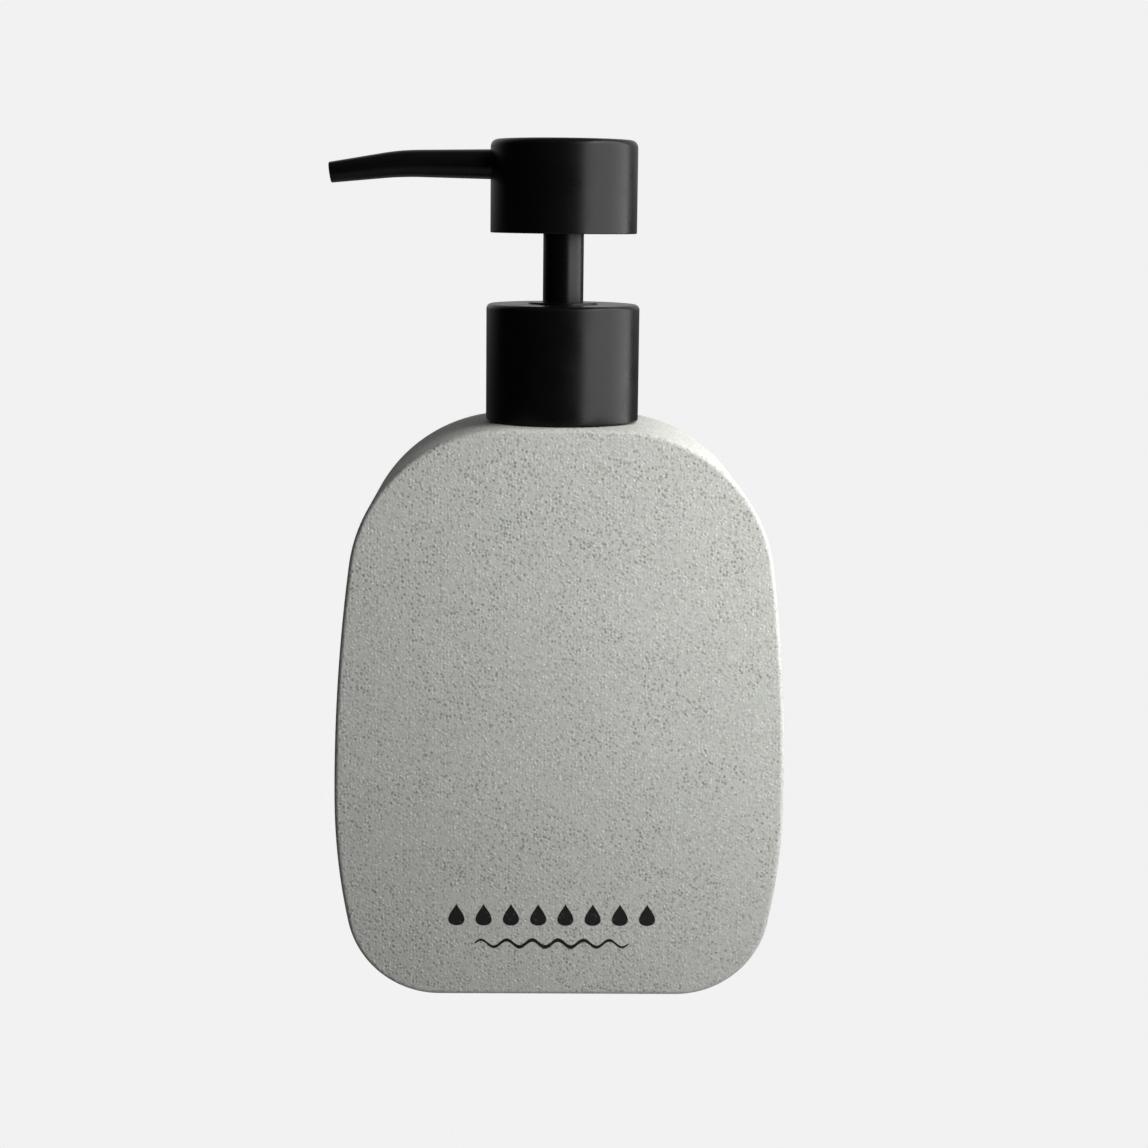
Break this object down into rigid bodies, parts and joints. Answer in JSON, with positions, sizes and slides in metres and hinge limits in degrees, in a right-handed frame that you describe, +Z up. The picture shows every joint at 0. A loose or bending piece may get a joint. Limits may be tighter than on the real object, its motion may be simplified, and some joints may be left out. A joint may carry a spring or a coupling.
{
  "type": "soap pump dispenser",
  "caption": "Flat-faced stone-look soap bottle with rounded shoulders and a smooth black lotion pump: drum head, long thin spout, slim stem and plain screw collar.",
  "frame": {"origin": "on the pump's axis, at the underside of the base pad that the bottle stands on", "axes": "+Z up along the pump's axis, -Y towards the broad front face, -X along the spout"},
  "size_m": [0.1001, 0.042, 0.1869],
  "materials": {
    "stone_resin": "sandstone-effect cast resin, matt and speckled",
    "black_plastic": "satin",
    "natural_plastic": "translucent natural polypropylene",
    "piston_plastic": "soft polyethylene",
    "gasket_rubber": "matt",
    "foam_pad": "closed-cell foam",
    "steel": "drawn stainless"
  },
  "bodies": {
    "bottle": {"bottle_shell": "stone_resin", "neck_insert": "natural_plastic", "base_plate": "natural_plastic", "base_pad": "foam_pad"},
    "pump": {"pump_housing": "natural_plastic", "chaplet": "black_plastic", "neck_gasket": "gasket_rubber", "ball_cage": "natural_plastic", "dip_tube": "natural_plastic", "return_spring": "steel"},
    "closure": {"closure_cap": "black_plastic", "collar_shell": "black_plastic"},
    "plunger": {"piston": "piston_plastic"},
    "head": {"stem": "black_plastic", "plunger_pin": "natural_plastic", "head_core": "black_plastic", "head_shell": "black_plastic", "spout": "black_plastic"},
    "ball": {"inlet_ball": "steel"}
  },
  "joints": [
    {"name": "closure_rise", "type": "slide", "parent": "bottle", "child": "pump", "axis": [0, 0, 1], "range_m": [0, 0.00634]},
    {"name": "closure_unscrew", "type": "hinge", "parent": "pump", "child": "closure", "pos_m": [0, 0, 0.14], "axis": [0, 0, 1], "range_deg": [0, 540]},
    {"name": "pump_press", "type": "slide", "parent": "pump", "child": "plunger", "axis": [0, 0, -1], "range_m": [0, 0.0145], "stiffness_N_per_m": 450, "springref_m": -0.011, "deforming": ["return_spring"]},
    {"name": "head_swivel", "type": "hinge", "parent": "plunger", "child": "head", "pos_m": [0, 0, 0.16], "axis": [0, 0, 1], "continuous": true},
    {"name": "ball_lift", "type": "slide", "parent": "pump", "child": "ball", "axis": [0, 0, 1], "range_m": [0, 0.0016]}
  ],
  "couplings": [
    {"joint": "closure_unscrew", "follows": "closure_rise", "rad_per_m": 1485.4}
  ]
}
